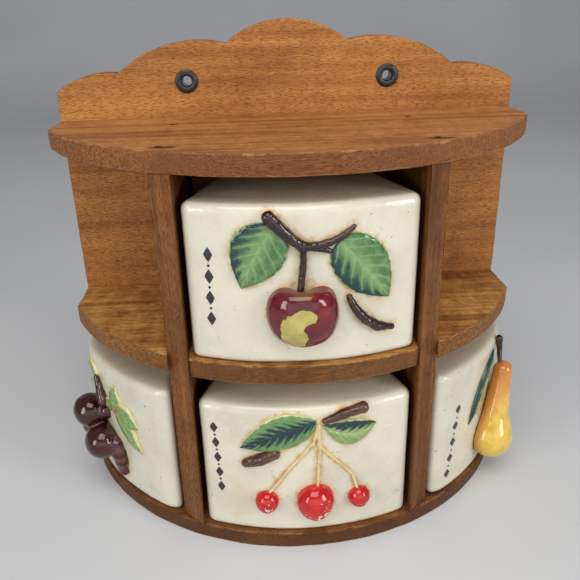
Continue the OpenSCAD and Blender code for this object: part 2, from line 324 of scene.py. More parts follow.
def wood(name, light, mid, dark, grain="x", offset=0.0, pores=1.0, figure=1.0, edge_stain=0.4, stains=()):
    """Open-pored varnished wood, with its grain along one axis. Its worn edges are lighter."""
    s = Shader(name)

    def streaks(length, width, detail=2.0, rough=0.5, distortion=0.0):
        """Noise with cells this long and this wide, in millimetres."""
        a, b = 1 / (length * MM), 1 / (width * MM)
        place = s.shift(s.place, offset, offset * 0.7, offset * 1.3)
        stretch = (a, b, b) if grain == "x" else (b, b, a)
        return s.noise(1.0, detail, rough, distortion, s.scale(place, *stretch))

    cloud = streaks(90, 26)
    bend = streaks(60, 14)
    rings = streaks(160, 5.5, 3.0, 0.55, 0.25)
    fibre = streaks(11, 0.42, 2.0, 0.6)
    pore = s.fade(s.plus(streaks(3.0, 0.24, 1.0), s.times(rings, 0.12)), 0.64, 0.73)
    curl = streaks(7, 16, 2.0, 0.5, 0.6)

    tone = s.plus(s.times(rings, 0.75), s.times(cloud, 0.45))
    tone = s.plus(tone, s.times(s.minus(curl, 0.5), 0.35 * figure))
    tone = s.plus(tone, s.times(s.minus(bend, 0.5), 0.3 * figure))
    s.colour = s.mix(s.fade(tone, 0.38, 0.64), dark, mid)
    s.paint(s.fade(tone, 0.58, 0.86), light)
    s.paint(s.fade(fibre, 0.35, 0.75, 0.0, 0.42), s.mix(0.5, s.colour, light))
    s.paint(s.fade(fibre, 0.5, 0.2, 0.0, 0.4), dark)
    deep = tuple(v * 0.3 for v in dark[:3]) + (1,)
    s.paint(s.times(pore, 0.56 * pores), (dark[0] * 0.55, dark[1] * 0.4, dark[2] * 0.35, 1))

    # The sides drink in more stain. Towards the ends of a curved edge they show speckled end grain.
    scuff = s.noise(160.0, 4.0, 0.6)
    side = s.attribute("side")
    reach = s.math("ABSOLUTE", s.split(s.place)[0])
    end_grain = s.times(side, s.fade(reach, 0.04, 0.1, 0.0, 1.0 if grain == "x" else 0.0))
    speckle = s.noise(900.0, 3.0, 0.7)
    stain = s.mix(s.fade(fibre, 0.35, 0.7), s.mix(0.8, dark, deep), s.mix(0.2, dark, deep))
    s.paint(s.times(side, edge_stain), stain)
    speckled = s.mix(s.fade(speckle, 0.38, 0.66), s.mix(0.4, dark, deep), s.mix(0.1, mid, light))
    s.paint(s.times(end_grain, 0.7), speckled)
    worn = s.times(s.attribute("edge"), s.fade(scuff, 0.46, 0.62))
    s.paint(s.times(worn, 0.32), s.mix(0.25, light, (0.9, 0.72, 0.5, 1)))
    s.paint(s.fade(s.noise(42.0, 5.0, 0.65), 0.56, 0.74, 0.0, 0.22), deep)
    for middle, radii in stains:
        near = s.away(s.place, [v * MM for v in middle], [1 / (r * MM) for r in radii])
        near = s.plus(near, s.times(s.minus(scuff, 0.5), 1.2))
        s.paint(s.fade(near, 1.25, 0.55, 0.0, 0.9), deep)
    s.bump((fibre, 0.00018), (s.minus(1.0, pore), 0.0003 * pores), (scuff, 0.00025),
        (s.times(speckle, end_grain), 0.0006))
    rough = s.fade(s.plus(s.times(fibre, 0.6), s.times(scuff, 0.4)), 0.3, 0.7, 0.42, 0.66)
    return s.finish(rough, specular=0.24)


def glaze_gloss(s, bump_depth, roughness=0.12, pits=0.0):
    """Finish shared by all the glazes: glossy, a little wavy, with small pits."""
    pit = s.fade(s.noise(1500.0, 1.0), 0.7, 0.76)
    s.bump((s.noise(260.0, 2.0), bump_depth), (s.minus(1.0, pit), 0.0002 * pits))
    return s.finish(s.fade(s.noise(600.0), 0.3, 0.75, roughness * 0.7, roughness * 1.8), 0.35)


def white_glaze():
    """Cream glaze with brown stain round the reliefs, small specks and fine crazing."""
    s = Shader("white_glaze", rgb(217, 211, 193))
    halo = s.attribute("halo")
    s.paint(s.fade(s.noise(22.0, 4.0, 0.6), 0.42, 0.72), rgb(200, 195, 180))
    s.paint(s.fade(s.noise(34.0, 5.0, 0.65), 0.52, 0.74, 0.0, 0.7), rgb(208, 193, 162))
    s.paint(s.times(halo, 0.3), rgb(222, 202, 146))
    patches = s.fade(s.noise(210.0, 4.0, 0.62), 0.43, 0.62, 0.0, 0.82)
    s.paint(s.times(halo, patches), rgb(200, 152, 78))
    s.paint(s.fade(s.noise(420.0, 2.0), 0.735, 0.77, 0.0, 0.7), rgb(126, 88, 50))
    blots = s.noise(95.0, 4.0, 0.6, at=s.shift(s.place, 3, 1, 2))
    s.paint(s.fade(blots, 0.66, 0.76, 0.0, 0.5), rgb(186, 142, 84))
    craze = s.fade(s.cracks(330.0), 0.0, 0.03, 1.0, 0.0)
    s.paint(s.times(craze, s.fade(s.noise(30.0, 2.0), 0.5, 0.7, 0.0, 0.22)), rgb(150, 112, 74))
    s.paint(s.times(s.attribute("foot"), 0.5), rgb(170, 140, 100))
    return glaze_gloss(s, 0.00018, 0.16, 0.5)


def leaf_glaze(name, green, pale, dark, rim, veins=6.0, dark_side=0.0, feather=0.0, rim_width=0.1, heart=None):
    """Painted leaf. Its attribute gives the way along it, the way across it and its height.

    The dark paint lies along one side, or feathers out from the midrib along the veins.
    """
    s = Shader(name)
    t, q, _ = s.split(s.attribute("leaf", True))
    side = s.math("ABSOLUTE", q)
    wash = s.noise(230.0, 3.0, 0.6)
    loose = s.minus(wash, 0.5)
    path = s.plus(s.minus(t, s.times(side, 0.3)), s.times(loose, 0.04))
    stripe = s.math("PINGPONG", s.times(path, veins * 2), 1.0)
    vein = s.times(s.fade(stripe, 0.6, 0.95), s.fade(side, 1.0, 0.7))
    midrib = s.fade(side, 0.09, 0.02)
    s.colour = s.mix(s.fade(wash, 0.35, 0.68), green, s.mix(0.3, green, pale))
    s.paint(s.fade(side, 0.5, 0.05, 0.0, 0.35), pale)
    s.paint(s.times(s.math("MAXIMUM", vein, midrib), 0.34), pale)
    reach = s.plus(s.times(q, dark_side), s.times(s.minus(1.0, side), feather))
    reach = s.plus(reach, s.times(loose, 0.9))
    reach = s.plus(reach, s.times(s.minus(0.5, stripe), 0.32 if dark_side else -0.42))
    s.paint(s.fade(reach, 0.34, 0.76), dark)
    if heart:
        s.paint(s.times(s.fade(t, 0.42, 0.12), s.fade(wash, 0.35, 0.6)), heart)
    edge = s.plus(side, s.times(loose, 0.25))
    s.paint(s.fade(edge, 1 - rim_width, 1 - rim_width * 0.35, 0.0, 0.85), rim)
    return glaze_gloss(s, 0.0002)


def twig_glaze(name, dark, light, roughness=0.12):
    """Painted bark. Its attribute gives the way along it and the way round it, for the grooves."""
    s = Shader(name, dark)
    grooves = s.noise(1.0, 4.0, 0.65, at=s.scale(s.attribute("bark", True), 0.09, 0.3, 0.0))
    s.paint(s.fade(grooves, 0.42, 0.68), light)
    s.paint(s.fade(s.noise(160.0), 0.6, 0.75, 0.0, 0.45), rgb(112, 58, 34))
    s.paint(s.times(s.attribute("foot"), 0.45), rgb(150, 96, 52))
    return glaze_gloss(s, 0.0002, roughness)


def fruit_glaze(name, main, deep, bright, foot_colour, extra):
    """Painted fruit. Its attribute gives the place from its middle, in its own radii."""
    s = Shader(name, main)
    wash = s.noise(150.0, 4.0, 0.6)
    s.paint(s.fade(wash, 0.35, 0.7), deep)
    s.paint(s.fade(s.noise(90.0, at=s.shift(s.place, 1, 2, 3)), 0.55, 0.75), bright)
    extra(s, s.attribute("fruit", True), wash)
    s.paint(s.times(s.attribute("foot"), s.fade(wash, 0.3, 0.55, 0.4, 1.0)), foot_colour)
    return glaze_gloss(s, 0.00016, 0.09)


def apple_patch(s, place, wash):
    """Yellow patch on the apple's lower left, and a brown hollow round its stem."""
    wobble = s.times(s.minus(s.noise(300.0), 0.5), 0.5)
    body = s.away(place, (-0.25, -0.24, 0), (3.0, 1.75, 0))
    horn = s.away(place, (-0.02, 0.2, 0), (3.2, 4.0, 0))
    notch = s.away(place, (0.2, -0.1, 0), (4.2, 5.0, 0))
    shape = s.plus(s.math("MINIMUM", body, horn), wobble)
    mask = s.times(s.fade(shape, 1.04, 0.96), s.fade(s.plus(notch, wobble), 0.85, 1.0))
    s.paint(mask, s.mix(s.fade(wash, 0.35, 0.7), rgb(190, 178, 104), rgb(168, 154, 78)))
    hollow = s.away(place, (-0.02, 0.86, 0), (3.0, 4.4, 0))
    s.paint(s.fade(s.plus(hollow, wobble), 1.2, 0.4, 0.0, 0.7), rgb(128, 84, 46))


def cherry_chips_and_highlight(s, place, wash):
    """Pale flecks low on the right: partly glaze chipped off, partly a painted highlight."""
    away = s.away(place, (0.4, -0.4, 0.8), (1, 1, 1))
    chip_and_highlight = s.minus(s.noise(330.0, 3.0, 0.65), s.times(away, 0.2))
    # Pale cream flecks: chipped glaze mixed with a painted highlight.
    s.paint(s.fade(chip_and_highlight, 0.465, 0.485), rgb(222, 202, 184))


def pear_blush(s, place, wash):
    """Orange-brown neck, redder towards the twig, and a red-brown foot."""
    x, z, out = s.split(place)
    loose = s.times(s.minus(wash, 0.5), 0.9)
    height = s.plus(s.minus(z, s.times(x, 0.9)), loose)
    s.paint(s.fade(height, 1.3, 2.5, 0.0, 0.8), rgb(204, 122, 46))
    s.paint(s.fade(height, 2.5, 3.3, 0.0, 0.6), rgb(164, 84, 44))
    s.paint(s.fade(s.plus(out, s.times(loose, 0.6)), 0.12, -0.34, 0.0, 0.75), rgb(180, 100, 44))


def grape_crease(s, place, wash):
    s.paint(s.times(s.attribute("crease"), s.fade(wash, 0.3, 0.6)), rgb(106, 70, 44))


def mark_paint():
    s = Shader("mark_paint", rgb(22, 22, 26))
    s.paint(s.fade(s.noise(900.0), 0.4, 0.7), rgb(60, 56, 56))
    return glaze_gloss(s, 0.00012)


def black_metal():
    s = Shader("black_metal", rgb(20, 20, 22))
    rub = s.times(s.attribute("edge"), s.fade(s.noise(700.0, 4.0, 0.6), 0.42, 0.62, 0.0, 0.16))
    s.paint(rub, rgb(120, 112, 100))
    s.bump((s.noise(1500.0), 0.0001))
    return s.finish(s.fade(s.noise(500.0), 0.3, 0.7, 0.25, 0.5), 0.2)


def nail_metal():
    s = Shader("nail_metal", rgb(70, 64, 58))
    s.paint(s.fade(s.noise(800.0, 4.0), 0.4, 0.65), rgb(96, 58, 36))
    s.bump((s.noise(1800.0), 0.0001))
    return s.finish(s.fade(s.noise(900.0), 0.3, 0.7, 0.4, 0.75), 0.0, 0.7)


def floor_paint():
    s = Shader("floor_paint", rgb(205, 207, 210))
    s.paint(s.fade(s.noise(3.0), 0.3, 0.7), rgb(212, 213, 215))
    return s.finish(0.75, specular=0.2)


GREEN, PALE, TEAL = rgb(62, 106, 58), rgb(150, 180, 120), rgb(14, 52, 52)
BLUE_TEAL, CREAM_RIM = rgb(14, 48, 52), rgb(214, 208, 156)
# Dark marks over two nails: a middle and three radii each.
NAIL_STAINS = [((x, FACE_Y - out, 212.4), (7.0, 2.6, 4)) for x, out in ((-60, 87.5), (62.8, 88))]
MATS = {
    "white": white_glaze(),
    "board": wood("board_wood", rgb(200, 138, 74), rgb(170, 111, 56), rgb(136, 83, 39),
        "x", 0.0, 0.62, 0.5, 0.1),
    "top_shelf": wood("shelf_wood", rgb(214, 152, 92), rgb(184, 120, 66), rgb(136, 80, 40),
        "x", 0.17, 0.8, 0.7, 0.85, NAIL_STAINS),
    "middle_shelf": wood("middle_shelf_wood", rgb(226, 170, 98), rgb(186, 128, 66), rgb(120, 72, 32),
        "x", 0.47, 0.7, 1.3, 0.9),
    "bottom_shelf": wood("bottom_shelf_wood", rgb(158, 102, 52), rgb(122, 75, 36), rgb(82, 47, 21),
        "x", 0.63, 0.8, 0.8, 0.7),
    "divider": wood("divider_wood", rgb(164, 108, 56), rgb(128, 79, 38), rgb(86, 50, 22),
        "z", 0.81, 0.9, 0.6, 0.15),
    "apple_leaf": leaf_glaze("apple_leaf_glaze", GREEN, PALE, TEAL, rgb(150, 182, 132), 6.0, -0.95, 0.0, 0.07),
    "cherry_leaf": leaf_glaze("cherry_leaf_glaze", rgb(90, 132, 76), PALE, BLUE_TEAL, CREAM_RIM,
        9.0, 0.0, 0.98, 0.12),
    "cherry_small_leaf": leaf_glaze("cherry_small_leaf_glaze", rgb(108, 144, 84), rgb(182, 194, 134),
        BLUE_TEAL, CREAM_RIM, 7.0, 1.15, 0.3, 0.14),
    "grape_leaf": leaf_glaze("grape_leaf_glaze", rgb(94, 140, 72), rgb(160, 184, 112), rgb(62, 100, 48),
        rgb(222, 212, 160), 5.0, 0.0, 0.35, 0.32, rgb(146, 96, 42)),
    "pear_leaf": leaf_glaze("pear_leaf_glaze", rgb(110, 138, 84), rgb(176, 184, 118), rgb(10, 44, 50),
        rgb(60, 96, 74), 4.0, -1.0, 0.35, 0.06),
    "twig": twig_glaze("twig_glaze", rgb(26, 12, 9), rgb(64, 32, 18)),
    "cherry_twig": twig_glaze("cherry_twig_glaze", rgb(52, 26, 18), rgb(116, 70, 48), 0.3),
    "stem": twig_glaze("stem_glaze", rgb(222, 204, 146), rgb(196, 168, 104)),
    "grape_stem": twig_glaze("grape_stem_glaze", rgb(52, 20, 22), rgb(92, 44, 36)),
    "apple": fruit_glaze("apple_glaze", rgb(108, 16, 32), rgb(78, 8, 22), rgb(134, 30, 38),
        rgb(196, 150, 84), apple_patch),
    "cherry": fruit_glaze("cherry_glaze", rgb(200, 20, 18), rgb(168, 12, 14), rgb(216, 42, 28),
        rgb(222, 170, 130), cherry_chips_and_highlight),
    "grape": fruit_glaze("grape_glaze", rgb(62, 8, 18), rgb(36, 4, 10), rgb(78, 14, 24),
        rgb(84, 44, 34), grape_crease),
    "pear": fruit_glaze("pear_glaze", rgb(222, 188, 84), rgb(206, 170, 66), rgb(230, 206, 118),
        rgb(196, 140, 70), pear_blush),
    "mark": mark_paint(),
    "metal": black_metal(),
    "nail": nail_metal(),
}


# ---------- Wood ----------


def resample(outline, step):
    """Points every step or so along a closed outline, with its corners kept."""
    out = []
    for a, b in zip(outline, outline[1:] + outline[:1]):
        n = max(1, int(round(math.dist(a, b) / step)))
        out += [(a[0] + (b[0] - a[0]) * i / n, a[1] + (b[1] - a[1]) * i / n) for i in range(n)]
    return np.array(out)


def tube_faces(rings, n, closed=False):
    """Quads between rings of n points each, and from the last ring to the first if closed."""
    return [(k * n + i, k * n + (i + 1) % n, (k + 1) % rings * n + (i + 1) % n, (k + 1) % rings * n + i)
        for k in range(rings if closed else rings - 1) for i in range(n)]


def slab(node, outline, low, high, place, material, edge, wear, seed, slot):
    """A board with rounded, unevenly worn edges, cut to an anticlockwise outline."""
    p = resample(outline, 1.6)
    before, after = np.roll(p, 1, 0) - p, np.roll(p, -1, 0) - p
    before /= np.linalg.norm(before, axis=1)[:, None]
    after /= np.linalg.norm(after, axis=1)[:, None]
    normal = np.stack([after[:, 1] - before[:, 1], before[:, 0] - after[:, 0]], 1)
    normal /= np.linalg.norm(normal, axis=1)[:, None]
    rough = np.array([[noise.noise(Vector((x * 0.11, y * 0.11, seed + k * 9.7))) for k in range(3)]
        for x, y in p])
    fine = np.array([noise.noise(Vector((x * 0.6, y * 0.6, seed + 50.0))) for x, y in p])
    steps = 5
    rings, edges, sides = [], [], []
    for k in range(2 * steps):
        top = k >= steps
        a = math.pi / 2 * ((k - steps) / (steps - 1) if top else k / (steps - 1))
        r = np.maximum(edge * (1 + wear * rough[:, 1 if top else 2] * 1.6 + 0.25 * fine), 0.3)
        over, up = (math.cos(a), math.sin(a)) if top else (math.sin(a), math.cos(a))
        inset, rise = r * (1 - over), r * (1 - up)
        w = high - rise if top else low + rise
        ring = p - normal * (inset + 0.07 * rough[:, 0] + 0.07)[:, None]
        rings.append(np.stack([ring[:, 0], ring[:, 1], np.broadcast_to(w, len(p))], 1))
        edges.append(np.full(len(p), math.sin(2 * a)))
        sides.append(np.full(len(p), over))
    n = len(p)
    verts = place(np.concatenate(rings))
    faces = tube_faces(2 * steps, n)
    flat = (len(faces), len(faces) + 1)
    faces.append(tuple(range(n))[::-1])
    faces.append(tuple(range((2 * steps - 1) * n, 2 * steps * n)))
    attributes = {"edge": np.concatenate(edges), "side": np.concatenate(sides)}
    return make(node + "_wood", verts, faces, "rack", MATS[material], node, attributes, flat)


def arc_between(p, q, rise, n=26):
    """Points of an arc from p to q that bulges to the right of its chord. q is left out."""
    p, q = np.array(p, float), np.array(q, float)
    half = np.linalg.norm(q - p) / 2
    along_chord = (q - p) / (2 * half)
    up = np.array([along_chord[1], -along_chord[0]])
    r = arc_radius(half, rise)
    centre = (p + q) / 2 - up * (r - rise)
    turn = math.asin(half / r)
    angles = np.linspace(-turn, turn, n)[:-1]
    return [tuple(centre + r * (up * math.cos(t) + along_chord * math.sin(t))) for t in angles]


def board_outline():
    """Straight sides and foot, and five arcs along the top."""
    half_w, _, top = BOARD_HIGH
    right = [(half_w, top - 34.5), (92.5, top - 25.5), (33.3, top - 11.5)]
    cusps = right + [(-x, z) for x, z in right[::-1]]
    out = [(-half_w, 0.0), (half_w, 0.0)]
    for a, b, rise in zip(cusps, cusps[1:], (3.5, 7.2, 11.5, 7.2, 3.5)):
        out += arc_between(a, b, rise)
    return out + cusps[-1:]


def shelf_outline(slots=False):
    """Plan of a shelf from the board to its curved front, anticlockwise from above."""
    def front(x):
        return ARC_Y - math.sqrt(SHELF_R**2 - x * x)

    gaps = [(-DIVIDER_OUT, -DIVIDER_IN), (DIVIDER_IN, DIVIDER_OUT)] if slots else []
    xs = np.linspace(-SHELF_HALF_W, SHELF_HALF_W, 160)
    points = [(x, front(x)) for x in xs if not any(a - 0.8 < x < b + 0.8 for a, b in gaps)]
    for a, b in gaps:
        points += [(a, front(a)), (a + 0.01, FACE_Y - LAP), (b - 0.01, FACE_Y - LAP), (b, front(b))]
    points.sort(key=lambda v: v[0])
    return points + [(SHELF_HALF_W, FACE_Y), (-SHELF_HALF_W, FACE_Y)]


def lie_flat(v):
    return v


def stand_in_wall(v):
    """Outline in X and Z, thickness towards the room."""
    return np.stack([v[:, 0], FACE_Y - v[:, 2], v[:, 1]], 1)


def divider_at(side):
    """Outline in Y and Z, with its front stretched to the shelves' curve."""
    left, right = (DIVIDER_DEPTH_IN, DIVIDER_DEPTH_OUT)[::side]

    def place(v):
        x = (DIVIDER_IN if side > 0 else -DIVIDER_OUT) + v[:, 2]
        depth = left + (right - left) * v[:, 2] / DIVIDER_T
        y = np.where(v[:, 0] < -LAP, FACE_Y - LAP + (v[:, 0] + LAP) * (depth - LAP) / LAP, FACE_Y + v[:, 0])
        return np.stack([x, y, v[:, 1]], 1)

    return place


board = slab("back_board", board_outline(), -10.0, 0.0, stand_in_wall, "board", 0.9, 0.4, 1, "board_wood")


def bore(ob, x, z, radius):
    """Cuts a hole through a piece along Y."""
    cutter_mesh = bpy.data.meshes.new("cutter")
    n = 48
    angles = [2 * math.pi * i / n for i in range(n)]
    ring = [(x + radius * math.cos(a), z + radius * math.sin(a)) for a in angles]
    verts = [(a * MM, y * MM, b * MM) for y in (FACE_Y - 5, FACE_Y + 15) for a, b in ring]
    faces = [tuple(range(n)), tuple(range(n, 2 * n))[::-1]]
    faces += [(a, d, c, b) for a, b, c, d in tube_faces(2, n)]
    cutter_mesh.from_pydata(verts, [], faces)
    cutter = bpy.data.objects.new("cutter", cutter_mesh)
    bpy.context.scene.collection.objects.link(cutter)
    cut = ob.modifiers.new("bore", "BOOLEAN")
    cut.operation, cut.object, cut.solver = "DIFFERENCE", cutter, "EXACT"
    view = bpy.context.evaluated_depsgraph_get()
    old, ob.data = ob.data, bpy.data.meshes.new_from_object(ob.evaluated_get(view))
    ob.modifiers.clear()
    bpy.data.objects.remove(cutter)
    bpy.data.meshes.remove(cutter_mesh)
    bpy.data.meshes.remove(old)


EYELETS = ("left_eyelet", "right_eyelet")
EYELET_HOLE_R = 3.7
for node in EYELETS:
    eye = sum(span(node)) / 2
    bore(board, eye[0], eye[2], EYELET_HOLE_R)

SHELVES = ("top_shelf", "middle_shelf", "bottom_shelf")
TOP_Z, MID_Z, LOW_Z = ([corner[2] for corner in span(node)] for node in SHELVES)
slab("top_shelf", shelf_outline(), *TOP_Z, lie_flat, "top_shelf", 0.9, 0.6, 2, "shelf_wood")
slab("middle_shelf", shelf_outline(True), *MID_Z, lie_flat, "middle_shelf", 0.9, 0.5, 3, "shelf_wood")
slab("bottom_shelf", shelf_outline(), *LOW_Z, lie_flat, "bottom_shelf", 0.9, 0.5, 4, "dark_wood")
divider_side = [(-2 * LAP, TOP_Z[0]), (0.0, TOP_Z[0]), (0.0, MID_Z[1]), (-LAP, MID_Z[1]),
    (-LAP, MID_Z[0]), (0.0, MID_Z[0]), (0.0, LOW_Z[1]), (-2 * LAP, LOW_Z[1])]
for side, word in ((-1, "left"), (1, "right")):
    slab(word + "_divider", divider_side, 0.0, DIVIDER_T, divider_at(side),
        "divider", 0.7, 0.6, 6 + side, "dark_wood")


# ---------- Nails and eyelets ----------

for node in ("top_nails", "back_nails", "bottom_nails"):
    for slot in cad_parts[node].material_slots:
        slot.material = MATS["nail"]


def eyelet(node):
    """Rolled flange and tube, turned about the hole's axis."""
    lo, hi = span(node)
    cx, _, cz = (lo + hi) / 2
    front, back = lo[1], hi[1]
    # Each point is a radius, a place along the axis and how worn it is.
    profile = [(2.72, back, 0), (2.7, front + 2.2, 0), (2.78, front + 1.2, 0.2), (3.05, front + 0.5, 0.5),
        (3.6, front + 0.1, 0.8), (4.3, front, 0.5), (5.2, front + 0.12, 0.3), (5.9, front + 0.4, 0.9),
        (6.25, front + 0.8, 1.0), (6.3, front + 1.2, 0.6), (3.6, front + 1.25, 0), (3.6, back, 0)]
    turns = [2 * math.pi * i / 56 for i in range(56)]
    verts = [(cx + r * math.cos(a), y, cz + r * math.sin(a)) for r, y, _ in profile for a in turns]
    edge = np.repeat([worn for _, _, worn in profile], len(turns))
    faces = tube_faces(len(profile), len(turns), closed=True)
    make(node + "_metal", verts, faces, "rack", MATS["metal"], node, {"edge": edge})


for node in EYELETS:
    eyelet(node)


# ---------- Drawers ----------

RIM_H = DRAWER_H - 14
HOOD_LEN = 60
HOOD_Y = FACE_Y - SHELF_DEPTH + DRAWER_SET_BACK + HOOD_LEN
# The mouth is cut no lower than this above a drawer's foot.
MOUTH_LOW = 40
TAPER, TAPER_LEN = 15.0, 48.0
SIDE_FRONT = FACE_Y - 86.5
SIDE_TOP = 34.0
FRONT_R = {"apple": DRAWER_R, "cherry": DRAWER_R, "grape": SIDE_R, "pear": SIDE_R}


def middle_plan(x, y, inset):
    front = np.hypot(x, y - ARC_Y) - (DRAWER_R - inset)
    out = np.abs(x) - (DRAWER_W / 2 - inset)
    slant = (out * TAPER_LEN + (y - HOOD_Y + inset + TAPER_LEN) * TAPER) / math.hypot(TAPER_LEN, TAPER)
    side = np.maximum(out, np.minimum(slant, out + TAPER))
    plan = round_max(front, side, max(5.2 - inset, 0.5))
    return round_max(plan, y - (DRAWER_BACK - inset), max(5 - inset, 1.5))


def hood_plan(x, y, inset):
    return round_max(middle_plan(x, y, inset), y - HOOD_Y + inset, 4)


def upright(plan, z, low, high, foot, rim):
    """A plan stood up between two heights, with its foot and its rim rounded."""
    return round_max(round_max(plan, z - high, rim), low - z, foot)


def unevenness(x, y, z, seed):
    """A drawer's walls wander a little."""
    return 0.12 * ripple(x, y, z, 46, seed)


def middle_drawer(z0):
    """Field of a drawer that stands at z0, and two corners of a box round it."""
    def field(x, y, z):
        low = upright(middle_plan(x, y, 0), z, z0, z0 + RIM_H, 2.6, 2.0)
        high = upright(hood_plan(x, y, 0), z, z0, z0 + DRAWER_H, 2.6, 4.0)
        room_plan = middle_plan(x, y, WALL)
        room = upright(room_plan, z, z0 + WALL, z0 + RIM_H - WALL, 3.0, 2.0)
        attic = upright(hood_plan(x, y, WALL), z, z0 + WALL, z0 + DRAWER_H - WALL, 3.0, 2.0)
        mouth = np.maximum(np.maximum(room_plan, HOOD_Y - y), z0 + MOUTH_LOW - z)
        hollow = np.minimum(np.minimum(room, attic), mouth)
        return round_max(np.minimum(low, high), -hollow, 1.6) + unevenness(x, y, z, int(z0))

    reach = DRAWER_W / 2 + 1.5
    return field, (-reach, FACE_Y - SHELF_DEPTH - 1, z0 - 2), (reach, DRAWER_BACK + 2, z0 + DRAWER_H + 2)


def side_plan(x, y, inset):
    front = np.hypot(x, y - ARC_Y) - (SIDE_R - inset)
    plan = round_max(front, SIDE_FRONT + inset - y, 3.5)
    plan = round_max(plan, SIDE_IN + inset - x, max(4 - inset, 1.5))
    plan = round_max(plan, x - (SIDE_OUT - inset), max(5 - inset, 1.5))
    return round_max(plan, y - (DRAWER_BACK - inset), max(5 - inset, 1.5))


def side_drawer(mirror, z0):
    """As middle_drawer. The left-hand drawer mirrors the right-hand one."""
    def field(x, y, z):
        x = x * mirror
        body = upright(side_plan(x, y, 0), z, z0, z0 + DRAWER_H, 2.6, 3.4)
        room_plan = side_plan(x, y, WALL)
        room = upright(room_plan, z, z0 + WALL, z0 + DRAWER_H - WALL, 3.0, 2.0)
        mouth = round_max(room_plan, np.hypot(x, y - ARC_Y) - (SIDE_R - SIDE_TOP), 2.0)
        mouth = np.maximum(mouth, z0 + MOUTH_LOW - z)
        return round_max(body, -np.minimum(room, mouth), 1.6) + unevenness(x, y, z, 7 + mirror)

    xs = sorted((mirror * (SIDE_IN - 2), mirror * (SIDE_OUT + 2)))
    return field, (xs[0], FACE_Y - 92, z0 - 2), (xs[1], DRAWER_BACK + 2, z0 + DRAWER_H + 2)


def halo_of(points, radius, shapes):
    """From 0 to 1, how near points are to the reliefs on a front."""
    out = np.hypot(points[:, 0], points[:, 1] - ARC_Y)
    on_face = out > radius - 2.5
    angle = np.arctan2(points[:, 0], ARC_Y - points[:, 1])
    sz = np.stack([angle * radius, points[:, 2]], 1)[on_face]
    near = np.full(len(sz), 99.0)
    for a, b, r in shapes:
        d, _ = segment_distance(sz, np.array(a[:2], float), np.array(b[:2], float) + 1e-4)
        near = np.minimum(near, d - r)
    halo = np.zeros(len(points))
    halo[on_face] = np.exp(-np.maximum(near, 0) ** 2 / 1.8)
    return halo


def drawer(body, shape, shapes):
    field, lo, hi = shape
    verts, faces = surface(field, lo, hi, 1.2)
    foot = np.clip(1 - (verts[:, 2] - verts[:, 2].min()) / 2.5, 0, 1)
    attributes = {"halo": halo_of(verts, FRONT_R[body], shapes), "foot": foot}
    make(body + "_drawer_body", verts, faces, body, MATS["white"], body + "_drawer", attributes)


# ---------- Reliefs ----------


def body_of(node):
    return node.split("_")[0]


def blade(base, tip, width, wide_at, full, **more):
    """A leaf's outline, from its base to its tip, each an angle and a height."""
    return dict(base=base, tip=tip, width=width, wide_at=wide_at, full=full, **more)


def leaf_points(radius, base, tip, width, wide_at, full, tip_full=1.0, bend=0.0, height=2.0, teeth=0,
        domed=0.9, veins=6):
    """Points, faces and attribute of a leaf on a front."""
    a, b = along(radius, *base)[:2], along(radius, *tip)[:2]
    length = np.linalg.norm(b - a)
    u = (b - a) / length
    v = np.array([-u[1], u[0]])
    rows, cols = 64, 33
    ring = cols + 2
    q = np.linspace(1, -1, cols)
    side = np.abs(q)
    rib = np.exp(-(side / 0.07) ** 2)
    verts, attribute = [], []
    for i in range(rows):
        t = 0.004 + 0.992 * i / (rows - 1)
        half = width / 2 * math.sin(math.pi * t**wide_at) ** (full + (tip_full - full) * t)
        if teeth and 0.06 < t < 0.94:
            half *= 1.03 - 0.05 * (t * teeth % 1.0)
        centre = a + u * length * t + v * bend * math.sin(math.pi * t)
        path = t - 0.3 * side
        vein = np.exp(-((((path * veins) % 1.0) - 0.5) / 0.16) ** 2) * np.clip(1.15 - side, 0, 1) * (t > 0.08)
        up = height * (0.62 + 0.38 * domed * (1 - side**2)) + 0.28 * vein - 0.45 * rib + 0.1 * rib * domed
        up *= np.clip(1 - side**14, 0, 1) ** 0.5 * 0.75 + 0.25
        up *= min(1.0, 0.3 + 5 * t, 0.25 + 4 * (1 - t))
        row = centre + q[:, None] * half * v
        verts += [(s, z, d) for (s, z), d in zip(row, up)]
        verts += [(*row[-1], -0.5), (*row[0], -0.5)]
        attribute += [(t, w, 1) for w in q] + [(t, -1, 0), (t, 1, 0)]
    faces = [(a, d, c, b) for a, b, c, d in tube_faces(rows, ring)]
    faces.append(tuple(range(ring)))
    faces.append(tuple(range((rows - 1) * ring, rows * ring))[::-1])
    return on_front(verts, radius), faces, attribute


def leaf(node, material, blades):
    """One piece made of one or more blades."""
    verts, faces, attribute = [], [], []
    body = body_of(node)
    for shape in blades:
        v, f, a = leaf_points(FRONT_R[body], **shape)
        faces += [tuple(len(verts) + i for i in face) for face in f]
        verts += v.tolist()
        attribute += a
    make(node + "_blade", verts, faces, body, MATS[material], node, {"leaf": attribute})


def relief(name, node, material, field, lo, hi, step, extra):
    """A shape given by a field in (s, z, d), cut just behind the front."""
    body = body_of(node)
    verts, faces = surface(lambda s, z, d: np.maximum(field(s, z, d), -0.7 - d), lo, hi, step)
    attributes = {"foot": np.clip(1 - (verts[:, 2] + 0.2) / 1.1, 0, 1), **extra(verts)}
    make(name, on_front(verts, FRONT_R[body]), faces, body, MATS[material], node, attributes)


def bar(radius, *points):
    """Path from points (angle, height, distance out, radius)."""
    return [(*along(radius, a, z, d), r) for a, z, d, r in points]


def pieces_of(paths):
    """Each straight piece of the paths: its ends and their radii."""
    return [(np.array(a[:3]), np.array(b[:3]), a[3], b[3]) for path in paths for a, b in zip(path, path[1:])]


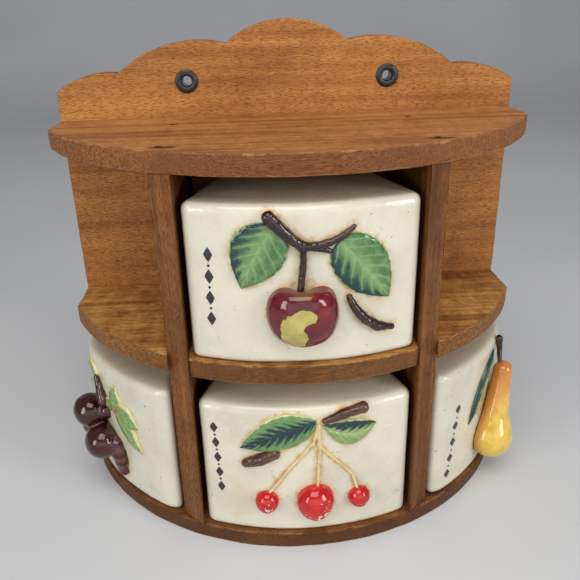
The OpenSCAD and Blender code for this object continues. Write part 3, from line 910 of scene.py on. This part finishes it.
def stroke(s, z, d, path, wobble, seed):
    """Field of a round bar along a path."""
    p = np.stack([s, z, d], -1)
    best = np.full(s.shape, 99.0)
    for a, b, ra, rb in pieces_of([path]):
        dist, t = segment_distance(p, a, b)
        best = np.minimum(best, dist - (ra + (rb - ra) * t))
    return best + wobble * ripple(s, z, d, 4.5, seed) + wobble * 0.6 * ripple(s, z, d, 2.2, seed + 1)


def twig(name, node, material, paths, wobble, seed, step=0.55):
    """One or more bars, run together where they meet."""
    p = np.array([q for path in paths for q in path])
    reach = p[:, 3].max() + 2.5
    lo, hi = p[:, :3].min(0) - reach, p[:, :3].max(0) + reach
    lo[2] = -1.6

    def field(s, z, d):
        f = stroke(s, z, d, paths[0], wobble, seed)
        for path in paths[1:]:
            f = round_min(f, stroke(s, z, d, path, wobble, seed), 0.8)
        return f

    def bark(v):
        """The way along the nearest bar and the way round it, in millimetres."""
        best = np.full(len(v), 99.0)
        out = np.zeros((len(v), 3))
        start = 0.0
        for a, b, _, _ in pieces_of(paths):
            dist, t = segment_distance(v, a, b)
            length = np.linalg.norm(b - a)
            u = (b - a) / length
            across = np.array([-u[1], u[0], 0]) / math.hypot(u[0], u[1])
            nearer = dist < best
            best = np.where(nearer, dist, best)
            where = np.stack([start + t * length, (v - a) @ across * 4, np.zeros(len(v))], 1)
            out = np.where(nearer[:, None], where, out)
            start += length
        return {"bark": out}

    relief(name, node, material, field, lo, hi, step, bark)


# Apple drawer
R = DRAWER_R
apple_branch = [
    bar(R, (-6.5, 185.0, 1.4, 3.0), (-4.6, 180.4, 1.6, 3.0), (-2.4, 175.2, 1.5, 2.6), (-0.4, 171.4, 1.6, 2.4)),
    bar(R, (-0.4, 171.4, 1.6, 2.4), (2.6, 171.4, 1.3, 1.9), (5.4, 173.3, 1.2, 1.7), (7.6, 176.0, 1.1, 1.5),
        (9.3, 179.2, 0.8, 1.0)),
    bar(R, (2.0, 170.8, 1.2, 1.8), (4.7, 168.6, 0.9, 1.3)),
    bar(R, (-0.3, 171, 1.3, 1.8), (-0.3, 163, 1.2, 1.6), (-0.9, 151, 2.4, 1.6)),
]
apple_twig = [bar(R, (8.5, 145.4, 0.6, 1.5), (9.7, 139.4, 1.2, 2.1), (11.6, 133.8, 1.5, 2.6),
    (14.3, 129.0, 1.3, 2.6), (17.6, 127.0, 0.5, 1.5))]
apple_leaves = (
    blade((-5.7, 180.5), (-12.2, 151.0), 25.5, 0.74, 0.5, tip_full=0.9, bend=-1.0, teeth=7, height=2.3),
    blade((6.7, 172.8), (16.8, 142.8), 25.0, 0.74, 0.45, tip_full=0.9, bend=0.5, teeth=8, veins=7, height=2.3),
)
# Cherry drawer
cherry_balls = ((-9.0, 30.4, 6.3), (1.6, 30.3, 10.1), (11.3, 29.7, 6.0))
cherry_stems = [
    bar(R, (2.4, 76.5, 0.6, 1.1), (2.5, 61, 0.5, 0.85), (2.0, 39.5, 1.4, 0.85)),
    bar(R, (1.1, 65.8, 0.5, 0.9), (-3.6, 52, 0.4, 0.8), (-8.4, 36.0, 1.0, 0.8)),
    bar(R, (2.4, 65.5, 0.5, 0.9), (4.0, 60.0, 0.5, 0.8), (7.6, 50.6, 0.4, 0.8), (9.8, 44.0, 0.5, 0.8),
        (10.9, 34.6, 1.1, 0.8)),
    bar(R, (2.2, 75.5, 0.5, 0.9), (1.1, 65.8, 0.5, 0.9)),
]
cherry_left_twig = [bar(R, (-13.2, 54.0, 0.6, 2.6), (-10.4, 56.6, 0.9, 3.4), (-7.0, 60.0, 0.6, 2.8))]
cherry_right_twig = [bar(R, (3.8, 79.0, 0.6, 1.8), (7.4, 82.4, 0.9, 2.6), (11.8, 84.6, 0.7, 3.0))]
cherry_leaves = (
    blade((1.9, 79.0), (-14.6, 62.6), 20.5, 0.8, 0.75, bend=-1.2, veins=9, height=2.2, domed=1.0),
    blade((3.2, 76.4), (15.0, 73.6), 15.5, 1.1, 0.7, tip_full=0.8, bend=-4.2, veins=7, height=2.1, domed=1.0),
)
# Grape drawer
G = SIDE_R
grape_balls = ((-59.0, 52.2, 10.0, 6.6), (-54.2, 37.0, 10.3, 6.2), (-60.4, 40.5, 7.6, 4.6),
    (-55.0, 54.0, 4.6, 0.2), (-50.8, 36.0, 5.4, 1.6), (-49.8, 32.0, 5.2, 1.6), (-49.2, 27.2, 4.4, 1.5),
    (-49.6, 23.4, 3.6, 1.3), (-49.2, 19.8, 3.1, 1.1))
grape_stem = [bar(G, (-57.6, 74.5, 1.0, 1.8), (-56.2, 69.0, 1.6, 2.4), (-54.2, 62.5, 2.6, 2.9))]
grape_low = (
    blade((-49.8, 67.0), (-40.6, 40.6), 13.0, 0.85, 0.7, height=2.3, bend=-0.8),
    blade((-49.9, 63.0), (-41.2, 56.6), 15.0, 0.95, 0.5, veins=5, height=2.1, bend=1.0),
    blade((-49.6, 59.5), (-48.6, 77.0), 13.0, 0.9, 0.65, veins=5),
    blade((-48.8, 65.0), (-55.2, 60.0), 9.0, 0.9, 0.7, veins=4),
)
grape_high = (
    blade((-56.6, 68.5), (-61.8, 84.0), 7.5, 0.85, 0.8, veins=5),
    blade((-56.8, 71.0), (-62.6, 67.0), 8.0, 0.85, 0.8, veins=5),
)
# Pear drawer
pear_twig = [bar(G, (57.4, 72.5, 4.2, 1.3), (58.8, 78.5, 2.6, 1.6), (59.2, 85.0, 1.6, 2.2))]
pear_leaf = (blade((56.6, 80.8), (44.0, 44.6), 12.5, 0.85, 1.0, veins=4, height=2.2, bend=-1.6, domed=1.0),)


def outline_of(leaves, radius):
    """Pieces of the edges of leaves."""
    out = []
    for shape in leaves:
        points, _, attribute = leaf_points(radius, **shape)
        angle = np.arctan2(points[:, 0], ARC_Y - points[:, 1])
        for way in (-1, 1):
            on_edge = [i for i, (t, q, h) in enumerate(attribute) if q == way and h]
            edge = [(angle[i] * radius, points[i, 2]) for i in on_edge]
            out += [(a, b, 0.0) for a, b in zip(edge[::4], edge[4::4])]
    return out


def outline_of_bars(paths):
    return [piece[:3] for piece in pieces_of(paths)]


def outline_of_balls(balls, radius):
    return [(along(radius, a, z), along(radius, a, z), size) for a, z, size in balls]


drawer("apple", middle_drawer(UPPER_Z), outline_of(apple_leaves, R)
    + outline_of_bars(apple_branch + apple_twig) + outline_of_balls([(-0.5, 138.4, 16.2)], R))
drawer("cherry", middle_drawer(LOWER_Z), outline_of(cherry_leaves, R)
    + outline_of_bars(cherry_stems + cherry_left_twig + cherry_right_twig) + outline_of_balls(cherry_balls, R))
drawer("grape", side_drawer(-1, LOWER_Z), outline_of(grape_low + grape_high, G)
    + outline_of_bars(grape_stem) + outline_of_balls([b[:3] for b in grape_balls], G))
drawer("pear", side_drawer(1, LOWER_Z), outline_of(pear_leaf, G)
    + outline_of_bars(pear_twig) + [(along(G, 52.6, 28.0), along(G, 54.6, 62.0), 9.0)])


def from_middle(centre, size):
    return lambda v: {"fruit": (v - centre) / size}


# Apple
apple_c = along(R, -0.5, 138.2, 0.1)


def apple_field(s, z, d):
    """A ball with a hollow round its stem, shoulders and a dimple below."""
    x, h, w = (s - apple_c[0]) / 16.7, (z - apple_c[1]) / 16.8, (d - apple_c[2]) / 13.3
    r = np.sqrt(x * x + h * h + w * w) + 1e-9
    polar = np.arccos(np.clip(h / r, -1, 1))
    size = 1.0 - 0.4 * np.exp(-(polar / 0.42) ** 2) + 0.07 * np.exp(-((polar - 0.85) / 0.4) ** 2)
    size -= 0.1 * np.exp(-((math.pi - polar) / 0.35) ** 2) + 0.05 * (h < 0) * h * h
    return (r - size) * 13 + 0.2 * ripple(s, z, d, 16, 21)


relief("apple_fruit", "apple_knob", "apple", apple_field,
    apple_c - (20, 20, 3), apple_c + (20, 20, 16), 0.7, from_middle(apple_c, 17.0))
twig("apple_branch_twig", "apple_branch", "twig", apple_branch, 0.12, 31, 0.5)
twig("apple_low_twig", "apple_twig", "twig", apple_twig, 0.12, 32, 0.45)
leaf("apple_left_leaf", "apple_leaf", apple_leaves[:1])
leaf("apple_right_leaf", "apple_leaf", apple_leaves[1:])

# Cherries
for word, (angle, height, size) in zip(("left", "middle", "right"), cherry_balls):
    c = along(R, angle, height, 0.6)

    def cherry_field(s, z, d, c=c, size=size):
        r = np.sqrt((s - c[0]) ** 2 + (z - c[1]) ** 2 + ((d - c[2]) * 1.02) ** 2)
        point = 0.06 * size * np.exp(-(((s - c[0]) ** 2 + (z - c[1] + size) ** 2) / (0.5 * size) ** 2))
        return r - size - point + 0.035 * size * ripple(s, z, d, size * 2.2, int(size * 10))

    relief(f"cherry_{word}_fruit", f"cherry_{word}", "cherry", cherry_field,
        c - size - 2, c + size + 2, 0.5, from_middle(c, size))
twig("cherry_stem_set", "cherry_stems", "stem", cherry_stems, 0.03, 41, 0.4)
twig("cherry_left_twig_bark", "cherry_left_twig", "cherry_twig", cherry_left_twig, 0.16, 42)
twig("cherry_right_twig_bark", "cherry_right_twig", "cherry_twig", cherry_right_twig, 0.16, 43)
leaf("cherry_left_leaf", "cherry_leaf", cherry_leaves[:1])
leaf("cherry_right_leaf", "cherry_small_leaf", cherry_leaves[1:])


# Grapes
def grape_distances(s, z, d):
    return [np.sqrt((s - c[0]) ** 2 + (z - c[1]) ** 2 + (d - out) ** 2) - size
        for c, size, out in ((along(G, a, z), size, out) for a, z, size, out in grape_balls)]


def grape_field(s, z, d):
    f, *others = grape_distances(s, z, d)
    for ball in others:
        f = round_min(f, ball, 1.4)
    return f + 0.14 * ripple(s, z, d, 9, 51)


def grape_marks(v):
    """The creases are where two grapes are equally near."""
    ranked = np.sort(np.stack(grape_distances(*v.T)), axis=0)
    return {"fruit": v * 0.1, "crease": np.clip(1 - (ranked[1] - ranked[0]) / 1.6, 0, 1)}


grape_c = along(G, -54.6, 41, 6)
relief("grape_cluster", "grape_bunch", "grape", grape_field,
    grape_c - (30, 28, 8), grape_c + (22, 28, 13), 0.7, grape_marks)
twig("grape_stem_bark", "grape_stem", "grape_stem", grape_stem, 0.08, 52)
leaf("grape_lower_leaf", "grape_leaf", grape_low)
leaf("grape_upper_leaf", "grape_leaf", grape_high)

# Pear
pear_c = along(G, 53.2, 27.6, 5.4)
pear_n = along(G, 57.4, 67.2, 6.6)


def pear_field(s, z, d):
    """A belly run into a tapered neck."""
    dist, t = segment_distance(np.stack([s, z, d], -1), pear_c, pear_n)
    neck = dist - (5.7 + 6.3 * (1 - t) ** 1.9)
    belly = np.sqrt((s - pear_c[0]) ** 2 + (z - pear_c[1]) ** 2 * 1.02 + (d - pear_c[2]) ** 2) - 12.2
    return round_min(neck, belly, 5.0) + 0.15 * ripple(s, z, d, 18, 61)


relief("pear_fruit", "pear_knob", "pear", pear_field,
    pear_c - (16, 16, 5), pear_n + (12, 10, 14), 0.7, from_middle(pear_c, 12.2))
twig("pear_twig_bark", "pear_twig", "twig", pear_twig, 0.12, 62, 0.45)
leaf("pear_leaf", "pear_leaf", pear_leaf)


# ---------- Painted marks in place of words: plain lozenges and dots ----------


def column(top, bottom, count, half_w, half_h):
    """Lozenges with a dot between each two, from top to bottom. Each is a place and two half sizes."""
    out = []
    for i in range(2 * count - 1):
        k = i / (2 * count - 2)
        a, z = (top[j] + (bottom[j] - top[j]) * k for j in (0, 1))
        out.append((a, z, half_w, half_h) if i % 2 == 0 else (a, z, 0.8, 0.8))
    return out


def marks(body, seed, places):
    """Thin painted spots on a front, which follow the drawer's own unevenness."""
    radius = FRONT_R[body]
    n = 20
    verts, faces = [], []
    for angle, height, half_w, half_h in places:
        c = along(radius, angle, height)
        base = len(verts)
        for scale, d in ((1.0, -0.25), (1.0, 0.1), (0.85, 0.18)):
            for i in range(n):
                a = 2 * math.pi * i / n
                k = scale / (abs(math.cos(a)) + abs(math.sin(a))) ** 0.8
                verts.append((c[0] + half_w * k * math.cos(a), c[1] + half_h * k * math.sin(a), d))
        spot = tube_faces(3, n) + [tuple(range(2 * n, 3 * n)), tuple(range(n))[::-1]]
        faces += [tuple(base + i for i in face) for face in spot]
    verts = np.array(verts)
    verts[:, 2] -= unevenness(*on_front(verts, radius).T, seed)
    make(body + "_drawer_marks", on_front(verts, radius), faces, body, MATS["mark"])


marks("apple", int(UPPER_Z), column((-18.4, 166.6), (-18.6, 134.8), 4, 2.2, 3.6))
marks("cherry", int(LOWER_Z), column((-20.2, 73.0), (-19.4, 36.0), 5, 2.1, 3.2))
marks("pear", 8, column((38.8, 61.5), (36.4, 20.5), 5, 2.5, 3.0))

# ---------- Floor, light and camera ----------


def stage_floor():
    """Plain floor that sweeps up into a backdrop far behind."""
    half, front, back, rise = 9.0, -9.0, 1.6, 4.0
    bend = 0.6
    turns = np.linspace(0, math.pi / 2, 14)
    profile = [(front, 0.0)] + [(back + bend * math.sin(a), bend - bend * math.cos(a)) for a in turns]
    profile.append((back + bend, rise))
    verts = [(x, y, z) for y, z in profile for x in (-half, half)]
    faces = [(2 * i, 2 * i + 1, 2 * i + 3, 2 * i + 2) for i in range(len(profile) - 1)]
    mesh = bpy.data.meshes.new("floor")
    mesh.from_pydata(verts, [], faces)
    mesh.polygons.foreach_set("use_smooth", [True] * len(faces))
    mesh.materials.append(floor_paint())
    ob = bpy.data.objects.new("floor", mesh)
    bpy.context.scene.collection.objects.link(ob)


stage_floor()


def lamp(name, place, target, size, power, colour=(1, 1, 1)):
    data = bpy.data.lights.new(name, "AREA")
    data.shape = "RECTANGLE"
    data.size, data.size_y = size
    data.energy = power
    data.color = colour
    ob = bpy.data.objects.new(name, data)
    ob.location = place
    ob.rotation_euler = (Vector(target) - Vector(place)).to_track_quat("-Z", "Y").to_euler()
    bpy.context.scene.collection.objects.link(ob)


lamp("overhead", (-0.1, -0.6, 1.2), (0, 0, 0.12), (1.0, 0.7), 7.5, (1.0, 0.98, 0.95))
lamp("left_window", (-1.0, -0.8, 0.5), (0, 0, 0.12), (0.35, 0.7), 4.6, (1.0, 0.99, 0.97))
lamp("right_window", (1.0, -0.75, 0.56), (0, 0, 0.12), (0.35, 0.7), 6.4, (1.0, 0.99, 0.97))
lamp("front", (0.0, -1.4, 0.46), (0, 0, 0.15), (2.4, 0.9), 6.0, (1.0, 0.99, 0.98))
world = bpy.data.worlds.new("studio")
world.use_nodes = True
world.node_tree.nodes["Background"].inputs[0].default_value = (0.94, 0.95, 0.98, 1)
world.node_tree.nodes["Background"].inputs[1].default_value = 0.28
bpy.context.scene.world = world
bpy.context.scene.view_settings.view_transform = "Standard"


def camera():
    """Camera a little above the rack and left of its middle, looking down at it."""
    yaw, pitch, roll = math.radians(2.645), math.radians(23.606), math.radians(-1.515)
    forward = Vector((math.sin(yaw) * math.cos(pitch), math.cos(yaw) * math.cos(pitch), -math.sin(pitch)))
    level = Vector((math.cos(yaw), -math.sin(yaw), 0))
    up = level.cross(forward)
    right = level * math.cos(roll) + up * math.sin(roll)
    top = up * math.cos(roll) - level * math.sin(roll)
    data = bpy.data.cameras.new("camera")
    data.sensor_width = 36
    data.lens = 40.22
    data.shift_x, data.shift_y = 0.0025, 0.0021
    data.clip_start = 0.01
    ob = bpy.data.objects.new("camera", data)
    turn = Matrix((right, top, -forward)).transposed().to_4x4()
    ob.matrix_world = Matrix.Translation(Vector((-19.88, -375.16 + FACE_Y, 266.94)) * MM) @ turn
    bpy.context.scene.collection.objects.link(ob)
    bpy.context.scene.camera = ob


camera()
